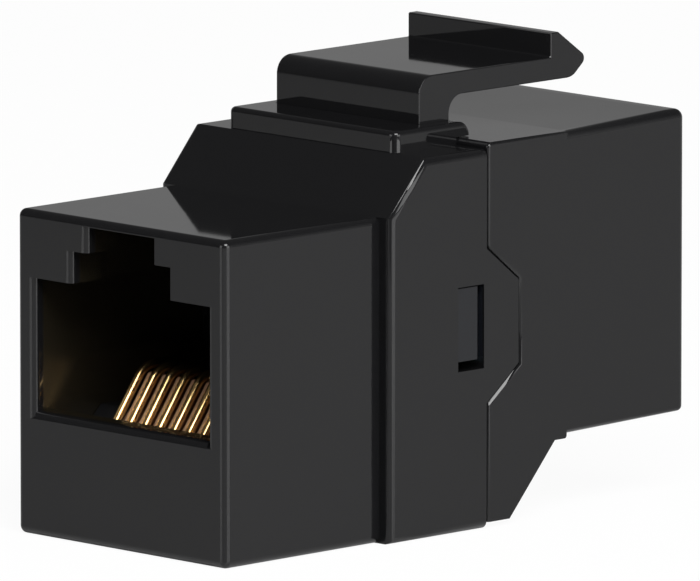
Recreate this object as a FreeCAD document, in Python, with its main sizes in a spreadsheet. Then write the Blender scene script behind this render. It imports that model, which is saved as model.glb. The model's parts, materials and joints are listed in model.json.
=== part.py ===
"""Keystone jack, female-to-female inline coupler for eight-way modular plugs.

A FreeCAD macro.  All driving sizes are in SIZES and go into the document's sheet; every sketch,
feature and placement is bound to the sheet by an expression.  Lengths are millimetres.

Each piece is drawn with X across the jack, Y back from its front face and Z up from its base.
The placements then put the origin under the middle of the coupler.
"""
import FreeCAD, Part
import os
from types import SimpleNamespace

import Sketcher
from FreeCAD import Placement, Rotation, Vector

SIZES = {
    # face box, the front part that fills the panel's cut-out
    "face_height": 16.0,
    "face_depth": 10.4,
    "edge_round": 0.38,
    # port opening: main hole, middle step and latch notch, and the walls beside and above it
    "port_side_wall": 1.25,
    "port_top_wall": 0.4,
    "port_height": 6.6,
    "step_width": 6.3,
    "step_height": 1.6,
    "notch_width": 4.1,
    "notch_height": 1.3,
    "port_plate": 2.0,
    "port_lip": 1.4,
    "port_depth": 11.4,
    "lead_in": 0.34,
    "latch_well_width": 8.0,
    # collar and the tier on top of it
    "collar_width": 16.05,
    "collar_step": 0.775,
    "collar_rise": 2.7,
    "collar_slope_depth": 2.35,
    "collar_round": 0.4,
    "seam_bevel": 0.1,
    "tier_width": 11.65,
    "tier_height": 1.05,
    "tier_setback": 0.15,
    "tier_overhang": 1.0,
    "tier_round": 0.4,
    "tier_edge_round": 0.25,
    # side tongues of the front housing, and the snap windows in its sides
    "tongue_reach": 2.2,
    "tongue_thickness": 1.0,
    "tongue_root": 7.7,
    "tongue_end": 4.2,
    "tongue_middle": 10.0,
    "window_setback": 2.06,
    "window_length": 1.78,
    "window_floor": 7.95,
    "window_height": 4.15,
    # latch lever
    "lever_width": 9.94,
    "riser_setback": 1.7,
    "riser_thickness": 2.05,
    "riser_height": 2.35,
    "arm_thickness": 1.14,
    "arm_length": 9.1,
    "lip_height": 1.2,
    "lip_flat": 0.55,
    "lip_reach": 2.55,
    "lip_nose_rise": 0.9,
    "lip_nose_back": 1.05,
    "heel_round": 0.9,
    "armpit_round": 0.9,
    "nose_round": 0.35,
    "nose_under_round": 0.9,
    "hinge_clearance": 0.05,
    # rear housing
    "overall_length": 30.85,
    "shell_step": 0.3,
    "rear_ramp_rise": 0.23,
    "rear_ramp_length": 7.2,
    "rear_base": 0.3,
    "rear_base_length": 1.5,
    "rear_shelf_length": 0.82,
    "rear_shelf_step": 0.23,
    "rear_box_depth": 8.3,
    "rear_port_wall": 0.52,
    "rear_port_roof": 5.18,
    "rear_box_draft": 0.17,
    "rear_round": 0.45,
    "rear_bottom_round": 0.2,
    "shelf_round": 0.15,
    "shell_round": 0.15,
    "shell_front_round": 0.25,
    # snap arms of the rear housing
    "arm_clip_thickness": 0.6,
    "arm_clip_length": 3.1,
    "barb_back_gap": 0.35,
    "barb_top_gap": 0.08,
    "barb_floor_gap": 0.47,
    "barb_setback": 0.12,
    "barb_nose": 0.7,
    # bay behind the ports for the carriers and the board
    "bay_side_room": 0.4,
    "bay_floor_room": 0.3,
    "bay_roof_room": 0.5,
    "slip_fit": 0.05,
    # contact carriers
    "carrier_drop": 3.6,
    "deck_drop": 0.9,
    "carrier_nose": 2.3,
    "carrier_wall": 1.6,
    "comb_slot_width": 0.56,
    "comb_slot_depth": 1.05,
    "comb_bridge": 0.25,
    "bed_rise": 0.8,
    "bed_setback": 1.4,
    "tip_slot_depth": 1.25,
    "tip_slot_rise": 3.2,
    # contact wires
    "contact_pitch": 1.016,
    "wire_diameter": 0.45,
    "wire_run_rise": 0.9,
    "pivot_depth": 2.87,
    "knee_depth": 5.0,
    "knee_rise": 1.96,
    "tip_reach": 0.4,
    "tip_rise": 2.28,
    "pivot_gap": 0.06,
    # circuit board
    "board_thickness": 1.2,
    "board_hole": 0.6,
    "board_margin": 1.0,
    "pin_stickout": 0.75,
    "pin_clearance": 0.325,
}
CONTACTS = 8


class Size:
    """A length from the sheet, or one worked out from it, with the expression that binds it."""

    def __init__(self, value, text):
        self.value = float(value)
        self.text = text

    @staticmethod
    def of(item):
        return item if isinstance(item, Size) else Size(item, "%.9g" % item)

    def _with(self, sign, other, value):
        return Size(value, "(%s %s %s)" % (self.text, sign, other.text))

    def __add__(self, other):
        other = Size.of(other)
        return self._with("+", other, self.value + other.value)

    def __sub__(self, other):
        other = Size.of(other)
        return self._with("-", other, self.value - other.value)

    def __mul__(self, other):
        other = Size.of(other)
        return self._with("*", other, self.value * other.value)

    def __truediv__(self, other):
        other = Size.of(other)
        return self._with("/", other, self.value / other.value)

    def __radd__(self, other):
        return Size.of(other) + self

    def __rsub__(self, other):
        return Size.of(other) - self

    def __rmul__(self, other):
        return Size.of(other) * self

    def __neg__(self):
        return Size(-self.value, "(-1 * %s)" % self.text)


doc = FreeCAD.newDocument("KeystoneCoupler")
sheet = doc.addObject("Spreadsheet::Sheet", "Sizes")
for row, (alias, number) in enumerate(SIZES.items(), start=1):
    sheet.set("A%d" % row, alias.replace("_", " "))
    sheet.set("B%d" % row, "%.9g" % number)
    sheet.setAlias("B%d" % row, alias)
doc.recompute()
d = SimpleNamespace(**{alias: Size(number, "Sizes." + alias) for alias, number in SIZES.items()})


# ---------------------------------------------------------------- places worked out from the sizes

face_width = d.collar_width - 2 * d.collar_step
port_width = face_width - 2 * d.port_side_wall
port_top = d.face_height - d.port_top_wall
port_floor = port_top - d.notch_height - d.step_height - d.port_height
carrier_floor = port_floor - d.carrier_drop
carrier_deck = port_floor - d.deck_drop
wire_run = carrier_floor + d.wire_run_rise
collar_half = d.collar_width / 2
collar_height = d.face_height + d.collar_rise
shell_top = collar_height + d.shell_step
rear_top = shell_top + d.rear_ramp_rise
rear_port_ceiling = rear_top - d.rear_port_roof
rear_notch = rear_port_ceiling - d.port_height - d.step_height - d.notch_height
rear_box_floor = rear_notch - d.rear_port_wall
rear_box_front = d.overall_length - d.rear_box_depth
flip_height = port_floor + rear_port_ceiling
board_front = (d.overall_length - d.board_thickness) / 2
board_back = board_front + d.board_thickness
pin_end = board_back + d.pin_stickout
seam_depth = pin_end + d.pin_clearance
tier_top = collar_height + d.tier_height
tier_front = d.face_depth + d.collar_slope_depth + d.tier_setback
tier_rear = seam_depth + d.tier_overhang
riser_front = seam_depth - d.riser_setback
hinge_depth = riser_front + d.riser_thickness / 2
hinge_radius = d.riser_thickness / 2
window_front = seam_depth - d.window_setback
barb_back = window_front + d.window_length - d.barb_back_gap
barb_floor = d.window_floor + d.barb_floor_gap
barb_height = d.window_height - d.barb_floor_gap - d.barb_top_gap
clip_outside = collar_half - d.tongue_thickness - d.slip_fit
clip_inside = clip_outside - d.arm_clip_thickness
wall_back = d.port_depth + d.carrier_wall
bay_half = port_width / 2 + d.bay_side_room
bay_floor = carrier_floor - d.bay_floor_room
bay_roof = port_top + d.bay_roof_room
board_bay_roof = flip_height - wire_run + d.board_margin
board_bay_front = d.overall_length - pin_end - d.pin_clearance
first_contact = -(CONTACTS - 1) / 2 * d.contact_pitch


# ---------------------------------------------------------------- drawing helpers

def new_body(label):
    """A body whose origin is moved so that the document's origin is under the coupler's middle."""
    body = doc.addObject("PartDesign::Body", label)
    body.Label = label
    body.Placement = Placement(Vector(0, -d.overall_length.value / 2, 0), Rotation())
    body.setExpression("Placement.Base.y", (-d.overall_length / 2).text)
    return body


def turn_to_rear(body):
    """Turn a piece of the front port half round about X, to its place in the rear port."""
    place = Vector(0, d.overall_length.value / 2, flip_height.value)
    body.Placement = Placement(place, Rotation(Vector(1, 0, 0), 180))
    body.setExpression("Placement.Base.y", (d.overall_length / 2).text)
    body.setExpression("Placement.Base.z", flip_height.text)


def new_sketch(body, name, plane, offset):
    """A sketch on one of the body's own planes, moved along the plane's normal by offset."""
    sketch = body.newObject("Sketcher::SketchObject", name)
    base = next(item for item in body.Origin.OriginFeatures if item.Role == plane)
    sketch.AttachmentSupport = (base, [""])
    sketch.MapMode = "FlatFace"
    offset = Size.of(offset)
    sketch.AttachmentOffset = Placement(Vector(0, 0, offset.value), Rotation())
    sketch.setExpression("AttachmentOffset.Base.z", offset.text)
    return sketch


def bind(sketch, kind, *where, size):
    """Add a dimension to a sketch and bind it to its size."""
    index = sketch.addConstraint(Sketcher.Constraint(kind, *where, size.value))
    sketch.setExpression("Constraints[%d]" % index, size.text)


def bind_point(sketch, edge, end, point):
    """Dimension one end of an edge from the sketch's origin."""
    bind(sketch, "DistanceX", -1, 1, edge, end, size=Size.of(point[0]))
    bind(sketch, "DistanceY", -1, 1, edge, end, size=Size.of(point[1]))


def polygon(body, name, plane, offset, points):
    """A closed outline through points, each a pair of sizes."""
    sketch = new_sketch(body, name, plane, offset)
    flat = [Vector(Size.of(across).value, Size.of(up).value, 0) for across, up in points]
    count = len(flat)
    for i in range(count):
        sketch.addGeometry(Part.LineSegment(flat[i], flat[(i + 1) % count]), False)
    for i in range(count):
        sketch.addConstraint(Sketcher.Constraint("Coincident", i, 2, (i + 1) % count, 1))
        bind_point(sketch, i, 1, points[i])
    return sketch


def rectangle(body, name, plane, offset, low, high):
    """A rectangle from its low corner to its high corner."""
    corners = [low, (high[0], low[1]), high, (low[0], high[1])]
    return polygon(body, name, plane, offset, corners)


def circle(body, name, plane, offset, centre, radius):
    """A circle on one of the body's planes."""
    sketch = new_sketch(body, name, plane, offset)
    middle = Vector(Size.of(centre[0]).value, Size.of(centre[1]).value, 0)
    sketch.addGeometry(Part.Circle(middle, Vector(0, 0, 1), radius.value), False)
    bind_point(sketch, 0, 3, centre)
    bind(sketch, "Radius", 0, size=radius)
    return sketch


def volume(body):
    """The body's volume so far."""
    return body.Shape.Volume if body.Tip else 0.0


def extrude(body, kind, sketch, length, symmetric, reverse):
    """Pad or pocket a sketch, and stop if that changes nothing."""
    before = volume(body)
    feature = body.newObject("PartDesign::" + kind, sketch.Name + "_" + kind.lower())
    feature.Profile = sketch
    feature.SideType = "Symmetric" if symmetric else "One side"
    feature.Reversed = reverse
    length = Size.of(length)
    feature.Length = length.value
    feature.setExpression("Length", length.text)
    doc.recompute()
    change = volume(body) - before
    if (change if kind == "Pad" else -change) <= 1e-6:
        raise RuntimeError(feature.Name + " changes nothing")
    return feature


def pad(sketch, length, symmetric=False, reverse=False):
    return extrude(sketch.getParentGeoFeatureGroup(), "Pad", sketch, length, symmetric, reverse)


def pocket(sketch, length, symmetric=False, reverse=False):
    return extrude(sketch.getParentGeoFeatureGroup(), "Pocket", sketch, length, symmetric, reverse)


def repeat(body, feature, mirror_plane=None, pitch=None):
    """Mirror a feature in one of the body's planes, or repeat it once for each contact along X."""
    if mirror_plane:
        pattern = body.newObject("PartDesign::Mirrored", feature.Name + "_mirrored")
        pattern.MirrorPlane = (origin_item(body, mirror_plane), [""])
    else:
        pattern = body.newObject("PartDesign::LinearPattern", feature.Name + "_row")
        pattern.Direction = (origin_item(body, "X_Axis"), [""])
        pattern.Mode = "Spacing"
        pattern.Occurrences = CONTACTS
        pattern.Offset = pitch.value
        pattern.setExpression("Offset", pitch.text)
    pattern.Originals = [feature]
    body.Tip = pattern
    doc.recompute()
    return pattern


def origin_item(body, role):
    """One of the body's own axes or planes."""
    return next(item for item in body.Origin.OriginFeatures if item.Role == role)


def near(number, size, slack=1e-4):
    """Whether a coordinate lies at a size."""
    return abs(number - Size.of(size).value) < slack


def edges_where(body, test):
    """Names of the edges of the body's last feature whose two ends and middle all pass a test."""
    names = []
    for index, edge in enumerate(body.Tip.Shape.Edges, start=1):
        middle = edge.valueAt((edge.FirstParameter + edge.LastParameter) / 2)
        points = [vertex.Point for vertex in edge.Vertexes] + [middle]
        if test(points):
            names.append("Edge%d" % index)
    return names


def dress(body, kind, name, test, size):
    """Round or bevel the edges that pass a test."""
    names = edges_where(body, test)
    if not names:
        raise RuntimeError(name + " finds no edges")
    base = body.Tip
    feature = body.newObject("PartDesign::" + kind, name)
    feature.Base = (base, names)
    bound = "Radius" if kind == "Fillet" else "Size"
    setattr(feature, bound, size.value)
    feature.setExpression(bound, size.text)
    doc.recompute()
    return feature


def all_points(test):
    """An edge test that asks the same of each of the edge's points."""
    return lambda points: all(test(point) for point in points)


# ---------------------------------------------------------------- ports, the same at both ends

def port_outline(floor, direction):
    """The stepped opening of a port: main hole, middle step and latch notch, up or down from floor."""
    half_port = port_width / 2
    half_step = d.step_width / 2
    half_notch = d.notch_width / 2
    main = floor + direction * d.port_height
    step = main + direction * d.step_height
    notch = step + direction * d.notch_height
    right = [(half_port, floor), (half_port, main), (half_step, main),
             (half_step, step), (half_notch, step), (half_notch, notch)]
    return right + [(-across, up) for across, up in reversed(right)]


def cut_port(body, face_offset, floor, direction, reverse, end):
    """Cut a port: stepped opening in its plate, plug space, latch well and the carrier's slot."""
    half_port = port_width / 2
    half_well = d.latch_well_width / 2
    main = floor + direction * d.port_height
    notch = main + direction * (d.step_height + d.notch_height)
    plate_back = face_offset - end * d.port_plate
    lip_back = face_offset - end * d.port_lip
    deck = floor - direction * (port_floor - carrier_floor + d.slip_fit)
    opening = polygon(body, "port_opening", "XZ_Plane", face_offset, port_outline(floor, direction))
    pocket(opening, d.port_depth, reverse=reverse)
    well = rectangle(body, "latch_well", "XZ_Plane", plate_back, (-half_well, main), (half_well, notch))
    pocket(well, d.port_depth - d.port_plate, reverse=reverse)
    slot = rectangle(body, "carrier_slot", "XZ_Plane", lip_back, (-half_port, deck), (half_port, floor))
    pocket(slot, d.port_depth - d.port_lip, reverse=reverse)


def bevel_port(body, face, floor, direction):
    """Lead-in on the sides and the contact edge of a port's opening."""
    half_port = port_width / 2
    main = floor + direction * d.port_height
    notch = main + direction * (d.step_height + d.notch_height)

    def on_lead_in(points):
        if not all(near(point.y, face) for point in points):
            return False
        upright = all(near(point.x, points[0].x) for point in points)
        inside = all(abs(point.x) <= half_port.value + 1e-4 for point in points)
        low, high = sorted((floor.value, notch.value))
        between = all(low - 1e-4 <= point.z <= high + 1e-4 for point in points)
        along_floor = all(near(point.z, floor) for point in points)
        return inside and between and (upright or along_floor)

    dress(body, "Chamfer", "port_lead_in", on_lead_in, d.lead_in)


# ---------------------------------------------------------------- front housing

def make_front_housing():
    """Face box, collar with its sloped top, tier, side tongues, port, bay and snap windows."""
    body = new_body("front_housing")
    face_half = face_width / 2

    box = rectangle(body, "face_box", "YZ_Plane", 0, (0, 0), (seam_depth, d.face_height))
    pad(box, face_width, symmetric=True)
    collar = polygon(body, "collar", "YZ_Plane", 0, [
        (d.face_depth, 0), (seam_depth, 0), (seam_depth, collar_height),
        (d.face_depth + d.collar_slope_depth, collar_height), (d.face_depth, d.face_height)])
    pad(collar, d.collar_width, symmetric=True)

    dress(body, "Fillet", "face_rounds", all_points(
        lambda p: p.y < d.face_depth.value - 0.01 or (p.y < d.face_depth.value + 0.01 and near(
            abs(p.x), face_half) and (near(p.z, 0) or near(p.z, d.face_height)))), d.edge_round)
    dress(body, "Fillet", "collar_rounds", lambda points: all(
        near(abs(p.x), collar_half) for p in points) and not all(
        near(p.y, seam_depth) for p in points), d.collar_round)

    overhang = shell_top + d.slip_fit
    tier = polygon(body, "tier", "YZ_Plane", 0, [
        (tier_front, d.face_height), (seam_depth, d.face_height), (seam_depth, overhang),
        (tier_rear, overhang), (tier_rear, tier_top), (tier_front, tier_top)])
    pad(tier, d.tier_width, symmetric=True)
    dress(body, "Fillet", "tier_back_round", all_points(
        lambda p: near(p.y, tier_rear) and near(p.z, tier_top)), tier_top - overhang - d.slip_fit)
    dress(body, "Fillet", "tier_corner_rounds", all_points(
        lambda p: near(p.y, tier_front) and near(abs(p.x), d.tier_width / 2)
        and p.z > collar_height.value - 0.01), d.tier_round)
    dress(body, "Fillet", "tier_edge_rounds", all_points(
        lambda p: near(p.z, tier_top) and p.y < tier_rear.value - 0.01), d.tier_edge_round)

    tongue = polygon(body, "tongue", "YZ_Plane", collar_half - d.tongue_thickness, tongue_outline(0))
    repeat(body, pad(tongue, d.tongue_thickness), mirror_plane="YZ_Plane")

    cut_port(body, Size.of(0), port_floor, 1, False, 1)
    bay = rectangle(body, "bay", "XZ_Plane", -seam_depth,
                    (-bay_half, bay_floor), (bay_half, bay_roof))
    pocket(bay, seam_depth - d.port_depth, reverse=True)
    board_bay = rectangle(body, "board_bay", "XZ_Plane", -seam_depth,
                          (-bay_half, bay_floor), (bay_half, board_bay_roof))
    pocket(board_bay, seam_depth - board_bay_front, reverse=True)
    clip_low = barb_floor - d.slip_fit
    clip_high = barb_floor + barb_height + d.slip_fit
    recess = rectangle(body, "clip_recess", "XZ_Plane", -seam_depth,
                       (-clip_outside - d.slip_fit, clip_low), (clip_outside + d.slip_fit, clip_high))
    pocket(recess, d.arm_clip_length + d.slip_fit, reverse=True)
    window = rectangle(body, "window", "YZ_Plane", 0, (window_front, d.window_floor), (
        window_front + d.window_length, d.window_floor + d.window_height))
    pocket(window, 2 * d.collar_width, symmetric=True)

    groove = circle(body, "lever_groove", "YZ_Plane", 0, (hinge_depth, tier_top),
                    hinge_radius + d.hinge_clearance)
    pocket(groove, d.lever_width + 2 * d.hinge_clearance, symmetric=True)
    bevel_port(body, 0, port_floor, 1)
    dress(body, "Chamfer", "seam_bevels", all_points(
        lambda p: p.y > seam_depth.value - 0.01 and near(abs(p.x), collar_half)), d.seam_bevel)
    return body


def tongue_outline(clearance):
    """Side tongue of the front housing, or with a clearance the recess that takes it."""
    root = d.tongue_root / 2 + clearance
    end = d.tongue_end / 2 + clearance
    reach = seam_depth + d.tongue_reach + clearance
    return [(seam_depth, d.tongue_middle - root), (reach, d.tongue_middle - end),
            (reach, d.tongue_middle + end), (seam_depth, d.tongue_middle + root)]


# ---------------------------------------------------------------- latch lever

def make_latch_lever():
    """Riser, arm and catch lip; its foot is a round that turns in the tier's groove."""
    body = new_body("latch_lever")
    riser_back = riser_front + d.riser_thickness
    arm_top = tier_top + d.riser_height
    arm_under = arm_top - d.arm_thickness
    lip_front = riser_front + d.arm_length
    lip_top = arm_top + d.lip_height
    lip_back = lip_front + d.lip_flat
    nose = lip_front + d.lip_reach
    outline = polygon(body, "lever_profile", "YZ_Plane", 0, [
        (riser_front, tier_top), (riser_back, tier_top), (riser_back, arm_under),
        (nose - d.lip_nose_back, arm_under), (nose, arm_under + d.lip_nose_rise),
        (lip_back, lip_top), (lip_front, lip_top), (lip_front, arm_top), (riser_front, arm_top)])
    pad(outline, d.lever_width, symmetric=True)
    foot = circle(body, "lever_foot", "YZ_Plane", 0, (hinge_depth, tier_top), hinge_radius)
    pad(foot, d.lever_width, symmetric=True)
    dress(body, "Fillet", "heel", all_points(
        lambda p: near(p.y, riser_front) and near(p.z, arm_top)), d.heel_round)
    dress(body, "Fillet", "armpit", all_points(
        lambda p: near(p.y, riser_back) and near(p.z, arm_under)), d.armpit_round)
    dress(body, "Fillet", "nose_under", all_points(
        lambda p: near(p.y, nose - d.lip_nose_back) and near(p.z, arm_under)), d.nose_under_round)
    dress(body, "Fillet", "nose_tip", all_points(lambda p: near(p.y, nose)), d.nose_round)
    return body


# ---------------------------------------------------------------- rear housing

def make_rear_housing():
    """Sloped middle shell, rear port box, recesses for the tongues and two snap arms with barbs."""
    body = new_body("rear_housing")
    slope_start = seam_depth + d.rear_base_length
    slope_end = rear_box_front - d.rear_shelf_length
    slope_top = rear_box_floor - d.rear_shelf_step

    box = polygon(body, "rear_box", "YZ_Plane", 0, [
        (rear_box_front, rear_box_floor), (d.overall_length, rear_box_floor + d.rear_box_draft),
        (d.overall_length, rear_top), (rear_box_front + d.rear_ramp_length, rear_top),
        (rear_box_front, shell_top)])
    pad(box, d.collar_width, symmetric=True)
    dress(body, "Fillet", "rear_box_rounds", lambda points: all(
        near(p.y, d.overall_length) for p in points) or all(
        near(abs(p.x), collar_half) and p.z > shell_top.value - 0.01 for p in points), d.rear_round)
    dress(body, "Fillet", "rear_bottom_rounds", all_points(
        lambda p: near(abs(p.x), collar_half) and p.z < rear_notch.value), d.rear_bottom_round)
    shell = polygon(body, "shell", "YZ_Plane", 0, [
        (seam_depth, d.rear_base), (slope_start, d.rear_base), (slope_end, slope_top),
        (rear_box_front, slope_top), (rear_box_front, shell_top), (seam_depth, shell_top)])
    pad(shell, d.collar_width, symmetric=True)
    dress(body, "Fillet", "shell_front_round", all_points(
        lambda p: near(p.y, seam_depth) and near(p.z, shell_top)), d.shell_front_round)
    dress(body, "Fillet", "shell_rounds", all_points(
        lambda p: near(abs(p.x), collar_half) and near(p.z, shell_top)
        and p.y < rear_box_front.value + 0.01), d.shell_round)

    dress(body, "Fillet", "shelf_round", all_points(
        lambda p: near(p.y, rear_box_front) and near(p.z, slope_top)), d.shelf_round)

    recess = polygon(body, "tongue_recess", "YZ_Plane", clip_outside, tongue_outline(d.slip_fit / 2))
    repeat(body, pocket(recess, d.collar_width, reverse=True), mirror_plane="YZ_Plane")
    cut_port(body, -d.overall_length, rear_port_ceiling, -1, True, -1)
    bay = rectangle(body, "bay", "XZ_Plane", -seam_depth, (-clip_inside, flip_height - bay_roof), (
        clip_inside, flip_height - bay_floor - d.rear_base))
    pocket(bay, d.overall_length - d.port_depth - seam_depth)

    clip = polygon(body, "clip_arm", "XY_Plane", barb_floor, [
        (clip_inside, seam_depth + d.tongue_reach), (clip_inside, seam_depth - d.arm_clip_length),
        (clip_outside, seam_depth - d.arm_clip_length), (clip_outside, window_front),
        (clip_outside + d.barb_nose, window_front),
        (collar_half - d.barb_setback, barb_back),
        (clip_outside, barb_back), (clip_outside, seam_depth + d.tongue_reach)])
    repeat(body, pad(clip, barb_height), mirror_plane="YZ_Plane")
    bevel_port(body, d.overall_length, rear_port_ceiling, -1)
    recess_end = seam_depth + d.tongue_reach + d.slip_fit
    dress(body, "Chamfer", "seam_bevels", lambda points: all(
        near(abs(p.x), collar_half) and p.y < recess_end.value for p in points) and not all(
        near(p.z, d.rear_base) for p in points), d.seam_bevel)
    return body


# ---------------------------------------------------------------- contact carriers and board

def make_carrier(label):
    """Deck that holds the wires in slots, a bed under them, and a back wall whose comb guides their tips."""
    body = new_body(label)
    deck = rectangle(body, "deck", "YZ_Plane", 0, (d.carrier_nose, carrier_floor),
                     (board_front - d.slip_fit, carrier_deck))
    pad(deck, port_width - 2 * d.slip_fit, symmetric=True)
    comb_back = d.carrier_nose + d.comb_slot_depth + d.comb_bridge
    bed = polygon(body, "bed", "YZ_Plane", 0, [
        (comb_back, carrier_deck), (comb_back + d.bed_rise, carrier_deck + d.bed_rise),
        (d.port_depth - d.bed_setback, carrier_deck + d.bed_rise), (d.port_depth - d.bed_setback, carrier_deck)])
    pad(bed, port_width - 2 * d.slip_fit, symmetric=True)
    wall = rectangle(body, "back_wall", "YZ_Plane", 0, (d.port_depth, carrier_floor),
                     (wall_back, bay_roof - d.slip_fit))
    pad(wall, 2 * bay_half - 4 * d.slip_fit, symmetric=True)
    groove_top = wire_run + d.comb_slot_width / 2
    wire_slot = polygon(body, "wire_slot", "YZ_Plane", first_contact, [
        (d.carrier_nose, carrier_floor), (board_front, carrier_floor), (board_front, groove_top),
        (d.carrier_nose + d.comb_slot_depth, groove_top),
        (d.carrier_nose + d.comb_slot_depth, carrier_deck), (d.carrier_nose, carrier_deck)])
    repeat(body, pocket(wire_slot, d.comb_slot_width, symmetric=True), pitch=d.contact_pitch)
    tip_slot = rectangle(body, "tip_slot", "YZ_Plane", first_contact, (d.port_depth, carrier_deck), (
        d.port_depth + d.tip_slot_depth, port_floor + d.tip_slot_rise))
    repeat(body, pocket(tip_slot, d.comb_slot_width, symmetric=True), pitch=d.contact_pitch)
    return body


def make_board():
    """Upright circuit board between the two ports, drilled for both rows of pins."""
    body = new_body("circuit_board")
    half = bay_half - 2 * d.slip_fit
    plate = rectangle(body, "plate", "XZ_Plane", -board_back, (-half, bay_floor + d.slip_fit),
                      (half, board_bay_roof - d.slip_fit))
    pad(plate, d.board_thickness)
    for name, height in (("front_hole", wire_run), ("rear_hole", flip_height - wire_run)):
        hole = circle(body, name, "XZ_Plane", -board_front, (first_contact, height), d.board_hole / 2)
        repeat(body, pocket(hole, d.board_thickness), pitch=d.contact_pitch)
    return body


# ---------------------------------------------------------------- contact wires

def bent_wire(label, across, corners):
    """A round wire swept along straight runs that meet in mitred bends."""
    body = new_body(label)
    path = new_sketch(body, "path", "YZ_Plane", across)
    flat = [Vector(Size.of(back).value, Size.of(up).value, 0) for back, up in corners]
    for i in range(len(flat) - 1):
        path.addGeometry(Part.LineSegment(flat[i], flat[i + 1]), False)
        bind_point(path, i, 1, corners[i])
        if i:
            path.addConstraint(Sketcher.Constraint("Coincident", i - 1, 2, i, 1))
    bind_point(path, len(flat) - 2, 2, corners[-1])
    section = body.newObject("Sketcher::SketchObject", "section")
    section.AttachmentSupport = (path, ["Edge1"])
    section.MapMode = "NormalToEdge"
    section.addGeometry(Part.Circle(Vector(), Vector(0, 0, 1), d.wire_diameter.value / 2), False)
    section.addConstraint(Sketcher.Constraint("Coincident", 0, 3, -1, 1))
    bind(section, "Diameter", 0, size=d.wire_diameter)
    pipe = body.newObject("PartDesign::AdditivePipe", "wire")
    pipe.Profile = section
    pipe.Spine = (path, [])
    pipe.Transition = "Right corner"
    doc.recompute()
    return body


def make_contacts(end):
    """Eight contact wires of a port: fixed tails with their pins, and the spring arms."""
    made = []
    for number in range(CONTACTS):
        across = first_contact + number * d.contact_pitch
        made.append(bent_wire("%s_contact_tail_%d" % (end, number + 1), across, [
            (pin_end, wire_run), (d.pivot_depth, wire_run), (d.pivot_depth, carrier_deck - d.pivot_gap)]))
        made.append(bent_wire("%s_contact_spring_%d" % (end, number + 1), across, [
            (d.pivot_depth, carrier_deck), (d.knee_depth, port_floor + d.knee_rise),
            (d.port_depth + d.tip_reach, port_floor + d.tip_rise)]))
    return made


# ---------------------------------------------------------------- the whole coupler

def make_all():
    """Make every piece, with the rear port's set turned into place."""
    pieces = [make_front_housing(), make_latch_lever(), make_rear_housing()]
    pieces += [make_carrier("front_contact_carrier"), make_board()] + make_contacts("front")
    rear_set = [make_carrier("rear_contact_carrier")] + make_contacts("rear")
    for piece in rear_set:
        turn_to_rear(piece)
    doc.recompute()
    return pieces + rear_set


def check(pieces):
    """Stop if any object failed, or if a piece isn't one valid solid."""
    for item in doc.Objects:
        if "Invalid" in item.State or "Error" in item.State:
            raise RuntimeError("%s failed: %s" % (item.Name, item.State))
    for piece in pieces:
        shape = piece.Shape
        if shape.isNull() or not shape.isValid() or len(shape.Solids) != 1:
            raise RuntimeError(piece.Label + " is not one valid solid")


parts = make_all()
check(parts)
os.makedirs("parts", exist_ok=True)
for part in parts:
    part.Shape.exportStep(os.path.join("parts", part.Label + ".step"))
    print("%-26s %9.3f mm3" % (part.Label, part.Shape.Volume))
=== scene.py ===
"""Looks for a keystone snap-in coupler: glossy moulded housings, gold contact wires, plain studio.

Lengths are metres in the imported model's own frame: X across the coupler, Y from the front port to
the rear port and Z up to the latch lever.
"""
import json
import logging
import math
from dataclasses import dataclass
from enum import Enum
from typing import Any, Iterable, Sequence

import bmesh
import bpy
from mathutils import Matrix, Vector


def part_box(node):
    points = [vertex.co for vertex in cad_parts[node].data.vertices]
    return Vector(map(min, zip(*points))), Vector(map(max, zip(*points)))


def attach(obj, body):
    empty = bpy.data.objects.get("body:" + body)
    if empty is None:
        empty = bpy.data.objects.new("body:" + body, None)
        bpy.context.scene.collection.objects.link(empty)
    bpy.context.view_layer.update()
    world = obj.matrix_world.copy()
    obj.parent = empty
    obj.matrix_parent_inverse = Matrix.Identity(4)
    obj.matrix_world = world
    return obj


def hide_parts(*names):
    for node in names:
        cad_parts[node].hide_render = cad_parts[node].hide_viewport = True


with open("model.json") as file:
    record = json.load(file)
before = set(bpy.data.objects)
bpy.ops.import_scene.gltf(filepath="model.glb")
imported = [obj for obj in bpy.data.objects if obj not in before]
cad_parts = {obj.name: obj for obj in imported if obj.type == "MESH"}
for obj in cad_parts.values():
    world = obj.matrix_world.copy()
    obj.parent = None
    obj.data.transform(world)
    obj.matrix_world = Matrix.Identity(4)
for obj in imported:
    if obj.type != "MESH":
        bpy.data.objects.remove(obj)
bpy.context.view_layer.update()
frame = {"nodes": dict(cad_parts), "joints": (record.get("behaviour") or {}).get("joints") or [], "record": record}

MM = 0.001
LOG = logging.getLogger("coupler")


class Slot(Enum):
    """The record's material slots."""

    HOUSING = "housing_plastic"
    CARRIER = "carrier_plastic"
    BOARD = "board_laminate"
    GOLD = "gold_wire"


class Body(Enum):
    """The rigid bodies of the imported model."""

    HOUSING = "housing"
    LATCH = "latch"
    FRONT_CONTACTS = "front_contacts"
    REAR_CONTACTS = "rear_contacts"


# ---------------------------------------------------------------- shader expressions

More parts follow.
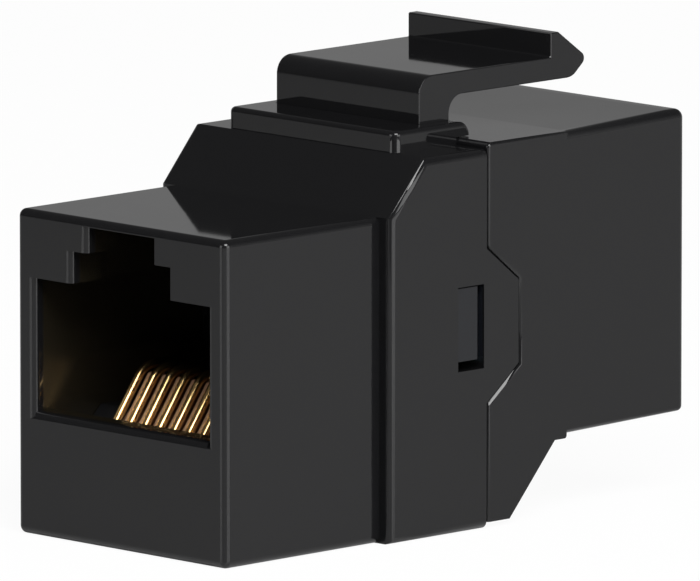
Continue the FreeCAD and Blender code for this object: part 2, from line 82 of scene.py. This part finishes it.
class Wire:
    """A shader socket that takes part in Python arithmetic."""

    def __init__(self, shader: "NodeSheet", socket: bpy.types.NodeSocket) -> None:
        """Keep the shader and the output socket."""
        self.shader = shader
        self.socket = socket

    def _math(self, operation: str, *terms: Any) -> "Wire":
        """Add a Math node on the terms."""
        return self.shader.add("ShaderNodeMath", {"operation": operation},
                               {i: term for i, term in enumerate(terms)})["Value"]

    def __add__(self, other: Any) -> "Wire":
        """Sum."""
        return self._math("ADD", self, other)

    def __radd__(self, other: Any) -> "Wire":
        """Sum with a number on the left."""
        return self._math("ADD", other, self)

    def __sub__(self, other: Any) -> "Wire":
        """Difference."""
        return self._math("SUBTRACT", self, other)

    def __rsub__(self, other: Any) -> "Wire":
        """Difference from a number on the left."""
        return self._math("SUBTRACT", other, self)

    def __mul__(self, other: Any) -> "Wire":
        """Product."""
        return self._math("MULTIPLY", self, other)

    def __rmul__(self, other: Any) -> "Wire":
        """Product with a number on the left."""
        return self._math("MULTIPLY", other, self)

    def __truediv__(self, other: Any) -> "Wire":
        """Quotient."""
        return self._math("DIVIDE", self, other)

    def clamp(self, low: float = 0.0, high: float = 1.0) -> "Wire":
        """Held between two numbers."""
        return self._math("MINIMUM", self._math("MAXIMUM", self, low), high)


class Outputs:
    """The outputs of one node, by name."""

    def __init__(self, shader: "NodeSheet", node: bpy.types.Node) -> None:
        """Keep the shader and the node."""
        self.shader = shader
        self.node = node

    def __getitem__(self, name: Any) -> Wire:
        """The output of that name or number."""
        return Wire(self.shader, self.node.outputs[name])


class NodeSheet:
    """A node tree that is filled through one method."""

    def __init__(self, tree: bpy.types.NodeTree) -> None:
        """Empty the tree and keep it."""
        self.tree = tree
        tree.nodes.clear()

    def add(self, kind: str, settings: dict[str, Any] | None = None,
            values: dict[Any, Any] | None = None) -> Outputs:
        """Add a node.

        Args:
            kind: The node's type.
            settings: Properties of the node; "stops" gives a ramp's (place, colour) pairs.
            values: Number, tuple or Wire for each input, by name or number.

        Returns:
            The node's outputs.
        """
        node = self.tree.nodes.new(kind)
        for name, setting in (settings or {}).items():
            if name == "stops":
                self._set_stops(node.color_ramp, setting)
            else:
                setattr(node, name, setting)
        for name, value in (values or {}).items():
            socket = node.inputs[name]
            if isinstance(value, Wire):
                self.tree.links.new(value.socket, socket)
            else:
                socket.default_value = value
        return Outputs(self, node)

    @staticmethod
    def _set_stops(ramp: bpy.types.ColorRamp, stops: Sequence[tuple[float, Sequence[float]]]) -> None:
        """Give a ramp its stops.

        Args:
            ramp: The ramp.
            stops: Pairs of a place from 0 to 1 and a colour.
        """
        while len(ramp.elements) < len(stops):
            ramp.elements.new(1.0)
        for element, (place, colour) in zip(ramp.elements, stops):
            element.position = place
            element.color = (*colour, 1.0)


# ---------------------------------------------------------------- finishes

@dataclass(frozen=True)
class Space:
    """A box of space with soft sides, which picks out part of a finish."""

    low: tuple[float, float, float]
    high: tuple[float, float, float]
    softness: float = 0.1 * MM

    def mask(self, shader: NodeSheet, place: Wire) -> Wire:
        """How far inside the box a place is.

        Args:
            shader: The material's nodes.
            place: Object coordinates.

        Returns:
            0 outside and 1 inside.
        """
        axes = shader.add("ShaderNodeSeparateXYZ", {}, {"Vector": place})
        mask = None
        for axis, low, high in zip("XYZ", self.low, self.high):
            inside = (((axes[axis] - low) / self.softness).clamp()
                      * ((high - axes[axis]) / self.softness).clamp())
            mask = inside if mask is None else mask * inside
        return mask


# Inside of the front and rear ports, the barbs on each side, the wires behind their knees, and the combs below the
# height of the knees. The ports' insides get a brown painted reflection of the gold wires, the barbs a painted
# sheen, the wires behind their knees a painted shade, and the combs a painted reflection of the gold wires.
PORT_SPACES = (Space((-6.3 * MM, -14.9 * MM, 2.0 * MM), (6.3 * MM, -1.0 * MM, 15.75 * MM)),
               Space((-6.3 * MM, 1.0 * MM, 4.4 * MM), (6.3 * MM, 14.9 * MM, 18.0 * MM)))
BARB_SPACES = (Space((7.3 * MM, -0.6 * MM, 8.2 * MM), (7.96 * MM, 1.5 * MM, 12.2 * MM)),
               Space((-7.96 * MM, -0.6 * MM, 8.2 * MM), (-7.3 * MM, 1.5 * MM, 12.2 * MM)))
# Painted shade: the wires behind their knees, in both ports, get a dark brown colour.
WIRE_PAINTED_SHADE_SPACES = (Space((-5 * MM, -10.0 * MM, 5 * MM), (5 * MM, -1 * MM, 10 * MM), 0.5 * MM),
                   Space((-5 * MM, 1 * MM, 10 * MM), (5 * MM, 10.0 * MM, 15 * MM), 0.5 * MM))
COMB_SPACES = (Space((-3.95 * MM, -16 * MM, 1 * MM), (3.95 * MM, -1 * MM, 7.9 * MM)),
               Space((-3.95 * MM, 1 * MM, 12.25 * MM), (3.95 * MM, 16 * MM, 20 * MM)))


@dataclass(frozen=True)
class MouldedPlastic:
    """Moulded plastic with a faint unevenness left by the mould, and colours painted into boxes of space for
    light, reflection and sheen.
    """

    name: str
    colour: tuple[float, float, float]
    roughness: float
    roughness_spread: float
    ior: float
    painted_tints: tuple[tuple[Space, tuple[float, float, float]], ...] = ()
    inner_roughness: float = 0.22
    wave_scale: float = 260.0
    wave_height: float = 0.004 * MM
    smear_scale: float = 1560.0
    mottling: float = 0.5

    def material(self) -> bpy.types.Material:
        """Build the material.

        Returns:
            The new material.
        """
        material = bpy.data.materials.new(self.name)
        material.use_nodes = True
        shader = NodeSheet(material.node_tree)
        place = shader.add("ShaderNodeTexCoord")["Object"]
        wave = shader.add("ShaderNodeTexNoise", {}, {
            "Vector": place, "Scale": self.wave_scale, "Detail": 1.0, "Roughness": 0.4})["Fac"]
        smear = shader.add("ShaderNodeTexNoise", {}, {
            "Vector": place, "Scale": self.smear_scale, "Detail": 3.0, "Roughness": 0.6})["Fac"]
        bump = shader.add("ShaderNodeBump", {}, {
            "Height": wave, "Distance": self.wave_height, "Strength": 1.0})["Normal"]
        rough = self.roughness + (smear - 0.5) * self.roughness_spread
        for space in PORT_SPACES:
            rough = rough + space.mask(shader, place) * (self.inner_roughness - self.roughness)
        colour = (*self.colour, 1.0)
        # Painted light: each painted tint mixes a colour into its box of space, mottled by the smear.
        for space, painted_colour in self.painted_tints:
            painted_share = space.mask(shader, place) * (1.0 - self.mottling / 2 + smear * self.mottling).clamp()
            colour = shader.add("ShaderNodeMix", {"data_type": "RGBA"}, {
                0: painted_share, 6: colour, 7: (*painted_colour, 1.0)})[2]
        surface = shader.add("ShaderNodeBsdfPrincipled", {}, {
            "Base Color": colour, "Roughness": rough.clamp(0.02, 1.0), "IOR": self.ior, "Normal": bump})
        shader.add("ShaderNodeOutputMaterial", {}, {"Surface": surface["BSDF"]})
        return material


@dataclass(frozen=True)
class PlatedWire:
    """Polished gold plating with drawn, slightly darker streaks; the wires behind their knees get a dark brown
    painted shade.
    """

    name: str = "gold_plating"
    bright: tuple[float, float, float] = (0.92, 0.65, 0.30)
    dull: tuple[float, float, float] = (0.58, 0.34, 0.12)
    painted_shade: tuple[float, float, float] = (0.10, 0.06, 0.035)
    roughness: float = 0.24
    streak_scale: float = 2500.0

    def material(self) -> bpy.types.Material:
        """Build the material.

        Returns:
            The new material.
        """
        material = bpy.data.materials.new(self.name)
        material.use_nodes = True
        shader = NodeSheet(material.node_tree)
        place = shader.add("ShaderNodeTexCoord")["Object"]
        streak = shader.add("ShaderNodeTexNoise", {}, {
            "Vector": place, "Scale": self.streak_scale, "Detail": 2.0, "Roughness": 0.5})["Fac"]
        colour = shader.add("ShaderNodeMix", {"data_type": "RGBA"}, {
            0: streak.clamp(), 6: (*self.dull, 1.0), 7: (*self.bright, 1.0)})[2]
        # Painted shade: the wires behind their knees get a dark brown colour in place of the gold.
        for space in WIRE_PAINTED_SHADE_SPACES:
            colour = shader.add("ShaderNodeMix", {"data_type": "RGBA"}, {
                0: space.mask(shader, place), 6: colour, 7: (*self.painted_shade, 1.0)})[2]
        surface = shader.add("ShaderNodeBsdfPrincipled", {}, {
            "Base Color": colour, "Metallic": 1.0, "Roughness": self.roughness})
        shader.add("ShaderNodeOutputMaterial", {}, {"Surface": surface["BSDF"]})
        return material


BLACK = (0.006, 0.006, 0.0065)
# Painted reflection: a brown colour on the inside walls of both ports stands in for the gold wires' light
# reflected there.
PORT_PAINTED_REFLECTION = (0.0105, 0.0085, 0.0052)
# Painted sheen: a lighter, bluish colour on each barb stands in for the light that its tilted face catches.
BARB_PAINTED_SHEEN = (0.008, 0.009, 0.012)
# Painted reflection: a brown colour on the black comb ribs stands in for the gold wires mirrored in them.
COMB_PAINTED_REFLECTION = (0.29, 0.165, 0.10)
GLOSS_BLACK = MouldedPlastic("gloss_black", BLACK, 0.05, 0.02, 1.4,
                             tuple((space, PORT_PAINTED_REFLECTION) for space in PORT_SPACES)
                             + tuple((space, BARB_PAINTED_SHEEN) for space in BARB_SPACES))
# The comb plastic is black, with the painted reflection of the gold wires laid on below the knees.
COMB_PLASTIC = MouldedPlastic("comb_plastic", BLACK, 0.12, 0.06, 1.5,
                              tuple((space, COMB_PAINTED_REFLECTION) for space in COMB_SPACES))
GREEN_BOARD = MouldedPlastic("green_board", (0.02, 0.09, 0.035), 0.35, 0.1, 1.5)
GOLD = PlatedWire()


# ---------------------------------------------------------------- places

def bearing(azimuth: float, elevation: float) -> Vector:
    """Direction from the coupler towards something around it.

    Args:
        azimuth: Degrees from the front port's side towards +X.
        elevation: Degrees above the floor.

    Returns:
        The unit vector.
    """
    turn, rise = math.radians(azimuth), math.radians(elevation)
    return Vector((math.sin(turn) * math.cos(rise), -math.cos(turn) * math.cos(rise), math.sin(rise)))


def joint_place(name: str) -> Vector:
    """Where a joint of the record turns.

    Args:
        name: The joint's name.

    Returns:
        A point on its axis.
    """
    return next(Vector(joint["pos_m"]) for joint in frame["joints"] if joint["name"] == name)


# ---------------------------------------------------------------- mesh helpers

def new_piece(name: str, mesh: bpy.types.Mesh, finishes: Iterable[bpy.types.Material],
              body: Body) -> bpy.types.Object:
    """Make a piece of the coupler from a mesh that is already in place.

    Args:
        name: The piece's name.
        mesh: Its mesh.
        finishes: Its materials.
        body: The body that it rides on.

    Returns:
        The new object.
    """
    piece = bpy.data.objects.new(name, mesh)
    bpy.context.scene.collection.objects.link(piece)
    mesh.materials.clear()
    for finish in finishes:
        mesh.materials.append(finish)
    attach(piece, body.value)
    LOG.info("%s: %d faces, rides on %s", name, len(mesh.polygons), body.value)
    return piece


def freeze(piece: bpy.types.Object) -> None:
    """Put the mesh that a piece's modifiers make in place of the modifiers.

    Args:
        piece: The object, with its modifiers set up.
    """
    graph = bpy.context.evaluated_depsgraph_get()
    made = bpy.data.meshes.new_from_object(
        piece.evaluated_get(graph), preserve_all_data_layers=True, depsgraph=graph)
    piece.modifiers.clear()
    piece.data = made


# ---------------------------------------------------------------- mouldings

@dataclass
class Moulding:
    """A moulded part whose corners have the small rounds that a steel mould leaves."""

    node: str
    body: Body
    corner: float = 0.07 * MM
    sharpest_join: float = 38.0
    widest_smooth: float = 32.0
    flat_within: float = 0.5
    weld: float = 0.001 * MM

    def build(self, finish: bpy.types.Material) -> bpy.types.Object:
        """Make the moulding from its CAD node.

        Args:
            finish: Its material.

        Returns:
            The piece, which stands for the node.
        """
        mesh = bpy.data.meshes.new(self.node + "_moulding")
        form = bmesh.new()
        form.from_mesh(frame["nodes"][self.node].data)
        for edge in form.edges:
            edge.smooth = True
        bmesh.ops.remove_doubles(form, verts=form.verts, dist=self.weld)
        bmesh.ops.dissolve_limit(form, angle_limit=math.radians(self.flat_within),
                                 verts=form.verts, edges=form.edges)
        self._shape(form)
        form.to_mesh(mesh)
        form.free()
        if "custom_normal" in mesh.attributes:
            mesh.attributes.remove(mesh.attributes["custom_normal"])
        mesh.shade_smooth()
        piece = new_piece(self.node + "_moulding", mesh, [finish], self.body)
        rounds = piece.modifiers.new("corner_rounds", "BEVEL")
        rounds.width = self.corner
        rounds.segments = 2
        rounds.limit_method = "ANGLE"
        rounds.angle_limit = math.radians(self.sharpest_join)
        helpers = self._cutters(piece)
        freeze(piece)
        for helper in helpers:
            bpy.data.objects.remove(helper)
        piece.data.shade_smooth()
        piece.data.set_sharp_from_angle(angle=math.radians(self.widest_smooth))
        flats = piece.modifiers.new("flat_normals", "WEIGHTED_NORMAL")
        flats.weight = 100
        flats.keep_sharp = True
        freeze(piece)
        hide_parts(self.node)
        return piece

    def _shape(self, form: bmesh.types.BMesh) -> None:
        """Refine the moulding's form before its corners are rounded."""

    def _cutters(self, piece: bpy.types.Object) -> list[bpy.types.Object]:
        """Add cuts to the moulding and return the helpers that they use."""
        return []


@dataclass
class RearMoulding(Moulding):
    """The rear housing, whose barbs lie level with the collar's sides in their windows."""

    barb_root: float = 7.3 * MM
    barb_back: float = 1.6 * MM
    barb_bottom: float = 8.0 * MM
    barb_top: float = 12.2 * MM

    def _shape(self, form: bmesh.types.BMesh) -> None:
        """Bring the front edge of each barb out to the height of its back edge.

        Args:
            form: The moulding's form.
        """
        barb = [vertex for vertex in form.verts
                if vertex.co.y < self.barb_back and abs(vertex.co.x) > self.barb_root
                and self.barb_bottom < vertex.co.z < self.barb_top]
        outermost = max(abs(vertex.co.x) for vertex in barb)
        for vertex in barb:
            vertex.co.x = math.copysign(outermost, vertex.co.x)
        LOG.info("%s: %d barb corners levelled at %.2f mm", self.node, len(barb), outermost / MM)


@dataclass
class FrontMoulding(Moulding):
    """The front housing, whose port has rounded edges that lead the plug in.

    Each entry of walls is the X, bottom and top of one wall of the latch slot.
    """

    plate: float = 2.0 * MM
    lead_in: float = 0.36 * MM
    chamfer: float = 0.34 * MM
    port_half_width: float = 6.0 * MM
    port_floor: float = 6.1 * MM
    port_ceiling: float = 12.7 * MM
    cutter_ahead: float = 0.3 * MM
    cutter_behind: float = 0.01 * MM
    cutter_width: float = 0.6 * MM
    walls: tuple[tuple[float, float, float], ...] = (
        (-3.42 * MM, 12.7 * MM, 14.3 * MM), (-2.33 * MM, 14.3 * MM, 15.6 * MM))

    def build_rounds(self, finish: bpy.types.Material) -> bpy.types.Object:
        """Lay a round over the chamfers at the port's sides and lip.

        Args:
            finish: Its material.

        Returns:
            The rounds, which belong to the same moulding.
        """
        face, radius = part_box(self.node)[0].y, self.chamfer
        rows = []
        for side in (-1, 1):
            edge = side * (self.port_half_width + radius)
            arc = [(edge - side * x, face + radius - y) for x, y in quarter(radius)]
            rows += [[(x, y, z) for x, y in arc] for z in (self.port_floor - radius, self.port_ceiling)]
        arc = [(face + radius - y, self.port_floor - radius + z) for z, y in quarter(radius)]
        rows += [[(x, y, z) for y, z in arc] for x in (-self.port_half_width, self.port_half_width)]
        form = bmesh.new()
        for low_row, high_row in zip(rows[::2], rows[1::2]):
            low, high = ([form.verts.new(point) for point in row] for row in (low_row, high_row))
            for step in range(len(low) - 1):
                form.faces.new((low[step], low[step + 1], high[step + 1], high[step]))
        mesh = bpy.data.meshes.new("front_port_rounds")
        form.to_mesh(mesh)
        form.free()
        mesh.shade_smooth()
        return new_piece("front_port_rounds", mesh, [finish], self.body)

    def _cutters(self, piece: bpy.types.Object) -> list[bpy.types.Object]:
        """Open the latch slot on one side, with a round at the face on each wall.

        Args:
            piece: The moulding, which gets one boolean for each wall.

        Returns:
            The helpers to remove once the booleans are applied.
        """
        face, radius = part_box(self.node)[0].y, self.lead_in
        front, back = face - self.cutter_ahead, face + self.plate + self.cutter_behind
        helpers = []
        for wall, bottom, top in self.walls:
            inner = wall + self.cutter_width
            section = [(wall - radius, front)]
            section += [(wall - radius + x, face + radius - y) for x, y in quarter(radius)]
            section += [(wall, back), (inner, back), (inner, front)]
            helper = prism("slot_cutter", section, bottom, top)
            cut = piece.modifiers.new("slot_wall", "BOOLEAN")
            cut.operation = "DIFFERENCE"
            cut.solver = "EXACT"
            cut.object = helper
            helpers.append(helper)
        return helpers


def quarter(radius: float, steps: int = 6) -> list[tuple[float, float]]:
    """Points on a quarter circle about the origin, from (0, radius) to (radius, 0).

    Args:
        radius: The circle's radius.
        steps: Number of straight steps.

    Returns:
        The points.
    """
    return [(radius * math.sin(math.pi / 2 * step / steps), radius * math.cos(math.pi / 2 * step / steps))
            for step in range(steps + 1)]


def prism(name: str, section: Sequence[tuple[float, float]], bottom: float, top: float) -> bpy.types.Object:
    """Make an upright prism.

    Args:
        name: The object's name.
        section: Its outline seen from above.
        bottom: Lowest Z.
        top: Highest Z.

    Returns:
        The prism.
    """
    count = len(section)
    mesh = bpy.data.meshes.new(name)
    mesh.from_pydata([(x, y, z) for z in (bottom, top) for x, y in section], [],
                     [tuple(range(count)), tuple(range(2 * count - 1, count - 1, -1))]
                     + [(i, i + count, (i + 1) % count + count, (i + 1) % count) for i in range(count)])
    form = bmesh.new()
    form.from_mesh(mesh)
    bmesh.ops.recalc_face_normals(form, faces=form.faces)
    form.to_mesh(mesh)
    form.free()
    made = bpy.data.objects.new(name, mesh)
    bpy.context.scene.collection.objects.link(made)
    return made


# ---------------------------------------------------------------- contact wires

@dataclass
class ContactRow:
    """The eight sprung wires of one port, each bent from round wire, in a single row.

    Each wire rises from its pivot to a knee and runs on to its tip. The rear row is the front row
    turned end over end, so its steps from the pivot run the other way.
    """

    node: str
    body: Body
    joint: str
    turned: bool
    count: int = 8
    knee: tuple[float, float] = (2.13 * MM, 2.86 * MM)
    bend: float = 1.1 * MM

    def _path(self) -> list[Vector]:
        """Lay out the first wire.

        Returns:
            The corners of its centre line.
        """
        low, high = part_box(self.node + "_1")
        centre, radius = (low.x + high.x) / 2, (high.x - low.x) / 2
        pivot = joint_place(self.joint)
        way = -1 if self.turned else 1
        tip_y = low.y if self.turned else high.y
        tip_z = low.z + radius if self.turned else high.z - radius
        return [Vector((centre, pivot.y, pivot.z)),
                Vector((centre, pivot.y + way * self.knee[0], pivot.z + way * self.knee[1])),
                Vector((centre, tip_y, tip_z))]

    def build(self, tree: bpy.types.NodeTree, finish: bpy.types.Material) -> bpy.types.Object:
        """Make the row.

        Args:
            tree: The geometry tree that bends, rounds and repeats the wire.
            finish: The wires' material.

        Returns:
            The piece, which stands for the eight spring nodes.
        """
        boxes = [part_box(f"{self.node}_{number + 1}") for number in range(self.count)]
        mesh = bpy.data.meshes.new(self.node + "_row")
        mesh.from_pydata(self._path(), [(0, 1), (1, 2)], [])
        piece = new_piece(self.node + "_row", mesh, [finish], self.body)
        modifier = piece.modifiers.new("wires", "NODES")
        modifier.node_group = tree
        set_inputs(modifier, {
            "Count": self.count, "Pitch": ((boxes[-1][0].x - boxes[0][0].x) / (self.count - 1), 0.0, 0.0),
            "Wire Radius": (boxes[0][1].x - boxes[0][0].x) / 2, "Bend Radius": self.bend, "Finish": finish})
        freeze(piece)
        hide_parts(*(f"{self.node}_{number + 1}" for number in range(self.count)))
        return piece


@dataclass
class CombRow:
    """The ribs that keep the wires of one port apart, where they rise out of their slots.

    The profile is a rib's side view, in steps back and up from the wires' pivot.
    """

    name: str
    wires: str
    joint: str
    turned: bool
    count: int = 7
    width: float = 0.5 * MM
    edge_round: float = 0.08 * MM
    profile: tuple[tuple[float, float], ...] = (
        (0.2 * MM, 0.0), (2.14 * MM, 2.6 * MM), (2.9 * MM, 2.6 * MM), (2.9 * MM, 0.0))

    def build(self, tree: bpy.types.NodeTree, finish: bpy.types.Material) -> bpy.types.Object:
        """Make the ribs.

        Args:
            tree: The geometry tree that rounds and repeats the rib.
            finish: Their material.

        Returns:
            The piece.
        """
        boxes = [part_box(f"{self.wires}_{number}") for number in (1, 2)]
        pitch = boxes[1][0].x - boxes[0][0].x
        middle = (boxes[0][0].x + boxes[1][1].x) / 2
        pivot = joint_place(self.joint)
        way = -1 if self.turned else 1
        corners = [(middle + side * self.width / 2, pivot.y + way * back, pivot.z + way * up)
                   for side in (-1, 1) for back, up in self.profile]
        mesh = bpy.data.meshes.new(self.name)
        mesh.from_pydata(corners, [], [(0, 1, 2, 3), (7, 6, 5, 4), (0, 4, 5, 1), (1, 5, 6, 2), (2, 6, 7, 3),
                                       (3, 7, 4, 0)])
        piece = new_piece(self.name, mesh, [finish], Body.HOUSING)
        edges = piece.modifiers.new("rounded_edges", "BEVEL")
        edges.width = self.edge_round
        edges.segments = 3
        modifier = piece.modifiers.new("ribs", "NODES")
        modifier.node_group = tree
        set_inputs(modifier, {"Count": self.count, "Pitch": (pitch, 0.0, 0.0), "Finish": finish})
        freeze(piece)
        return piece


def set_inputs(modifier: bpy.types.Modifier, sizes: dict[str, Any]) -> None:
    """Give a geometry tree's named inputs their values.

    Args:
        modifier: The modifier that holds the tree.
        sizes: Values by the input's name.
    """
    for item in modifier.node_group.interface.items_tree:
        if item.in_out == "INPUT" and item.name in sizes:
            modifier[item.identifier] = sizes[item.name]


def row_tree(name: str, sizes: Sequence[tuple[str, str]] = ()) -> tuple[NodeSheet, Outputs]:
    """Start a geometry tree that repeats a part along a row.

    Args:
        name: The tree's name.
        sizes: Name and socket type of each input that it has beyond those of every row.

    Returns:
        The tree's nodes and its inputs.
    """
    tree = bpy.data.node_groups.new(name, "GeometryNodeTree")
    for label, kind in (("Geometry", "NodeSocketGeometry"), ("Count", "NodeSocketInt"),
                        ("Pitch", "NodeSocketVector"), ("Finish", "NodeSocketMaterial"), *sizes):
        tree.interface.new_socket(name=label, in_out="INPUT", socket_type=kind)
    tree.interface.new_socket(name="Geometry", in_out="OUTPUT", socket_type="NodeSocketGeometry")
    sheet = NodeSheet(tree)
    return sheet, sheet.add("NodeGroupInput")


def finish_row(sheet: NodeSheet, given: Outputs, part: Wire) -> bpy.types.NodeTree:
    """Repeat a part along the row, make it real and give it its material.

    Args:
        sheet: The geometry tree's nodes.
        given: The tree's inputs.
        part: The part's geometry.

    Returns:
        The finished tree.
    """
    places = sheet.add("GeometryNodeMeshLine", {}, {
        "Count": given["Count"], "Offset": given["Pitch"]})["Mesh"]
    row = sheet.add("GeometryNodeInstanceOnPoints", {}, {"Points": places, "Instance": part})["Instances"]
    real = sheet.add("GeometryNodeRealizeInstances", {}, {"Geometry": row})["Geometry"]
    coated = sheet.add("GeometryNodeSetMaterial", {}, {
        "Geometry": real, "Material": given["Finish"]})["Geometry"]
    sheet.add("NodeGroupOutput", {}, {"Geometry": coated})
    return sheet.tree


def rib_row_tree() -> bpy.types.NodeTree:
    """Make the geometry tree that repeats one rib.

    Returns:
        The tree.
    """
    sheet, given = row_tree("rib_row")
    return finish_row(sheet, given, given["Geometry"])


def wire_row_tree() -> bpy.types.NodeTree:
    """Make the geometry tree that turns one centre line into a row of round wires.

    Returns:
        The tree.
    """
    sheet, given = row_tree("wire_row", (("Wire Radius", "NodeSocketFloat"),
                                         ("Bend Radius", "NodeSocketFloat")))
    line = sheet.add("GeometryNodeMeshToCurve", {}, {"Mesh": given["Geometry"]})["Curve"]
    bent = sheet.add("GeometryNodeFilletCurve", {"mode": "POLY"}, {
        "Curve": line, "Radius": given["Bend Radius"], "Limit Radius": True, "Count": 8})["Curve"]
    section = sheet.add("GeometryNodeCurvePrimitiveCircle", {}, {
        "Resolution": 24, "Radius": given["Wire Radius"]})["Curve"]
    wire = sheet.add("GeometryNodeCurveToMesh", {}, {
        "Curve": bent, "Profile Curve": section, "Fill Caps": True})["Mesh"]
    return finish_row(sheet, given, wire)


# ---------------------------------------------------------------- studio

@dataclass
class Camera:
    """A long lens, three-quarters from the front and a little above."""

    azimuth: float = 45.39
    elevation: float = 9.32
    distance: float = 817 * MM
    lens: float = 859.8
    film_width: float = 36.0
    aim: tuple[float, float, float] = (0.288 * MM, -0.133 * MM, 11.05 * MM)

    def build(self) -> bpy.types.Object:
        """Make the camera and give it to the scene.

        Returns:
            The camera.
        """
        away = bearing(self.azimuth, self.elevation)
        data = bpy.data.cameras.new("camera")
        data.lens = self.lens
        data.sensor_width = self.film_width
        data.clip_start, data.clip_end = 0.01, 20.0
        camera = bpy.data.objects.new("camera", data)
        bpy.context.scene.collection.objects.link(camera)
        camera.location = Vector(self.aim) + away * self.distance
        camera.rotation_euler = (-away).to_track_quat("-Z", "Y").to_euler()
        bpy.context.scene.camera = camera
        return camera


@dataclass(frozen=True)
class SoftBox:
    """One soft box that faces the coupler, placed by its bearing, height and distance."""

    name: str
    azimuth: float
    elevation: float
    distance: float
    width: float
    height: float
    radiance: float

    def build(self) -> None:
        """Hang the lamp."""
        away = bearing(self.azimuth, self.elevation)
        data = bpy.data.lights.new(self.name, "AREA")
        data.shape = "RECTANGLE"
        data.size, data.size_y = self.width, self.height
        data.energy = self.radiance * self.width * self.height * math.pi
        lamp = bpy.data.objects.new(self.name, data)
        bpy.context.scene.collection.objects.link(lamp)
        lamp.location = Vector(STAGE_MIDDLE) + away * self.distance
        lamp.rotation_euler = (-away).to_track_quat("-Z", "Y").to_euler()


STAGE_MIDDLE = (0.0, 0.0, 10 * MM)
SOFT_BOXES = (
    SoftBox("box_over_right", 62.0, 46.0, 0.6, 0.42, 0.26, 13.0),
    SoftBox("box_right", 92.0, 15.0, 1.1, 0.90, 0.50, 3.8),
    SoftBox("box_left", -18.0, 15.0, 1.1, 0.66, 0.50, 2.5),
)


@dataclass
class Studio:
    """A pale floor, a surround that is brightest near the horizon, and soft boxes.

    The surround's glow reaches up to glow_top, the Z of a unit direction. It is strongest behind and
    to the right, by the shares glow_behind and glow_right, about the level glow_middle at the sides.
    """

    floor_size: float = 3.0
    floor_colour: tuple[float, float, float] = (0.85, 0.85, 0.85)
    floor_sheen: float = 0.2
    overhead_level: float = 0.10
    horizon_level: float = 0.56
    glow_top: float = 0.5
    glow_middle: float = 0.5
    glow_behind: float = 0.6
    glow_right: float = 0.25
    floor_white: float = 0.95

    def build(self) -> None:
        """Make the floor, the world and the lamps."""
        bpy.context.scene.view_settings.view_transform = "Standard"
        self._floor()
        self._world()
        for box in SOFT_BOXES:
            box.build()

    def _floor(self) -> None:
        """Lay the floor: white to the camera where no shadow falls, softly glossy in reflections."""
        half = self.floor_size / 2
        mesh = bpy.data.meshes.new("floor")
        mesh.from_pydata([(-half, -half, 0), (half, -half, 0), (half, half, 0), (-half, half, 0)],
                         [], [(0, 1, 2, 3)])
        floor = bpy.data.objects.new("floor", mesh)
        bpy.context.scene.collection.objects.link(floor)
        material = bpy.data.materials.new("studio_floor")
        material.use_nodes = True
        shader = NodeSheet(material.node_tree)
        seen = shader.add("ShaderNodeLightPath")["Is Camera Ray"]
        matte = shader.add("ShaderNodeBsdfDiffuse", {}, {"Color": (*self.floor_colour, 1.0)})["BSDF"]
        sheen = shader.add("ShaderNodeBsdfPrincipled", {}, {
            "Base Color": (*self.floor_colour, 1.0), "Roughness": self.floor_sheen})["BSDF"]
        white = shader.add("ShaderNodeEmission", {}, {"Color": (1.0, 1.0, 1.0, 1.0), "Strength": 1.0})
        bright = shader.add("ShaderNodeMixShader", {}, {0: self.floor_white, 1: matte, 2: white["Emission"]})
        mixed = shader.add("ShaderNodeMixShader", {}, {0: seen, 1: sheen, 2: bright["Shader"]})
        shader.add("ShaderNodeOutputMaterial", {}, {"Surface": mixed["Shader"]})
        mesh.materials.append(material)

    def _world(self) -> None:
        """Light the scene from a pale horizon, in front of a white background."""
        world = bpy.data.worlds.new("surround")
        bpy.context.scene.world = world
        world.use_nodes = True
        shader = NodeSheet(world.node_tree)
        seen = shader.add("ShaderNodeLightPath")["Is Camera Ray"]
        direction = shader.add("ShaderNodeTexCoord")["Generated"]
        axes = shader.add("ShaderNodeSeparateXYZ", {}, {"Vector": direction})
        near_horizon = (1.0 - axes["Z"] / self.glow_top).clamp()
        behind = (axes["Y"] * self.glow_behind + axes["X"] * self.glow_right + self.glow_middle).clamp()
        level = self.overhead_level + near_horizon * behind * (self.horizon_level - self.overhead_level)
        light = shader.add("ShaderNodeBackground", {}, {
            "Color": (1.0, 1.0, 1.0, 1.0), "Strength": level + seen * (1.0 - level)})["Background"]
        shader.add("ShaderNodeOutputWorld", {}, {"Surface": light})


# ---------------------------------------------------------------- everything

@dataclass
class CadDress:
    """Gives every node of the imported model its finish."""

    finishes: dict[str, bpy.types.Material]

    def dress(self) -> None:
        """Assign the finish of each node's slot."""
        slots = {part["node"]: part["material_slot"] for part in frame["record"]["subparts"]}
        for name, node in frame["nodes"].items():
            for holder in node.material_slots:
                holder.material = self.finishes[slots[name]]


def main() -> None:
    """Build the looks piece by piece."""
    logging.basicConfig(level=logging.INFO)
    finishes = {Slot.HOUSING.value: GLOSS_BLACK.material(), Slot.CARRIER.value: COMB_PLASTIC.material(),
                Slot.BOARD.value: GREEN_BOARD.material(), Slot.GOLD.value: GOLD.material()}
    CadDress(finishes).dress()
    front = FrontMoulding("front_housing", Body.HOUSING)
    front.build_rounds(finishes[Slot.HOUSING.value])
    for moulding in (front, RearMoulding("rear_housing", Body.HOUSING),
                     Moulding("latch_lever", Body.LATCH)):
        moulding.build(finishes[Slot.HOUSING.value])
    tree = wire_row_tree()
    for row in (ContactRow("front_contact_spring", Body.FRONT_CONTACTS, "front_contact_flex", False),
                ContactRow("rear_contact_spring", Body.REAR_CONTACTS, "rear_contact_flex", True)):
        row.build(tree, finishes[Slot.GOLD.value])
    tree = rib_row_tree()
    for comb in (CombRow("front_comb_ribs", "front_contact_spring", "front_contact_flex", False),
                 CombRow("rear_comb_ribs", "rear_contact_spring", "rear_contact_flex", True)):
        comb.build(tree, finishes[Slot.CARRIER.value])
    Camera().build()
    Studio().build()


if __name__ == "__main__":
    main()
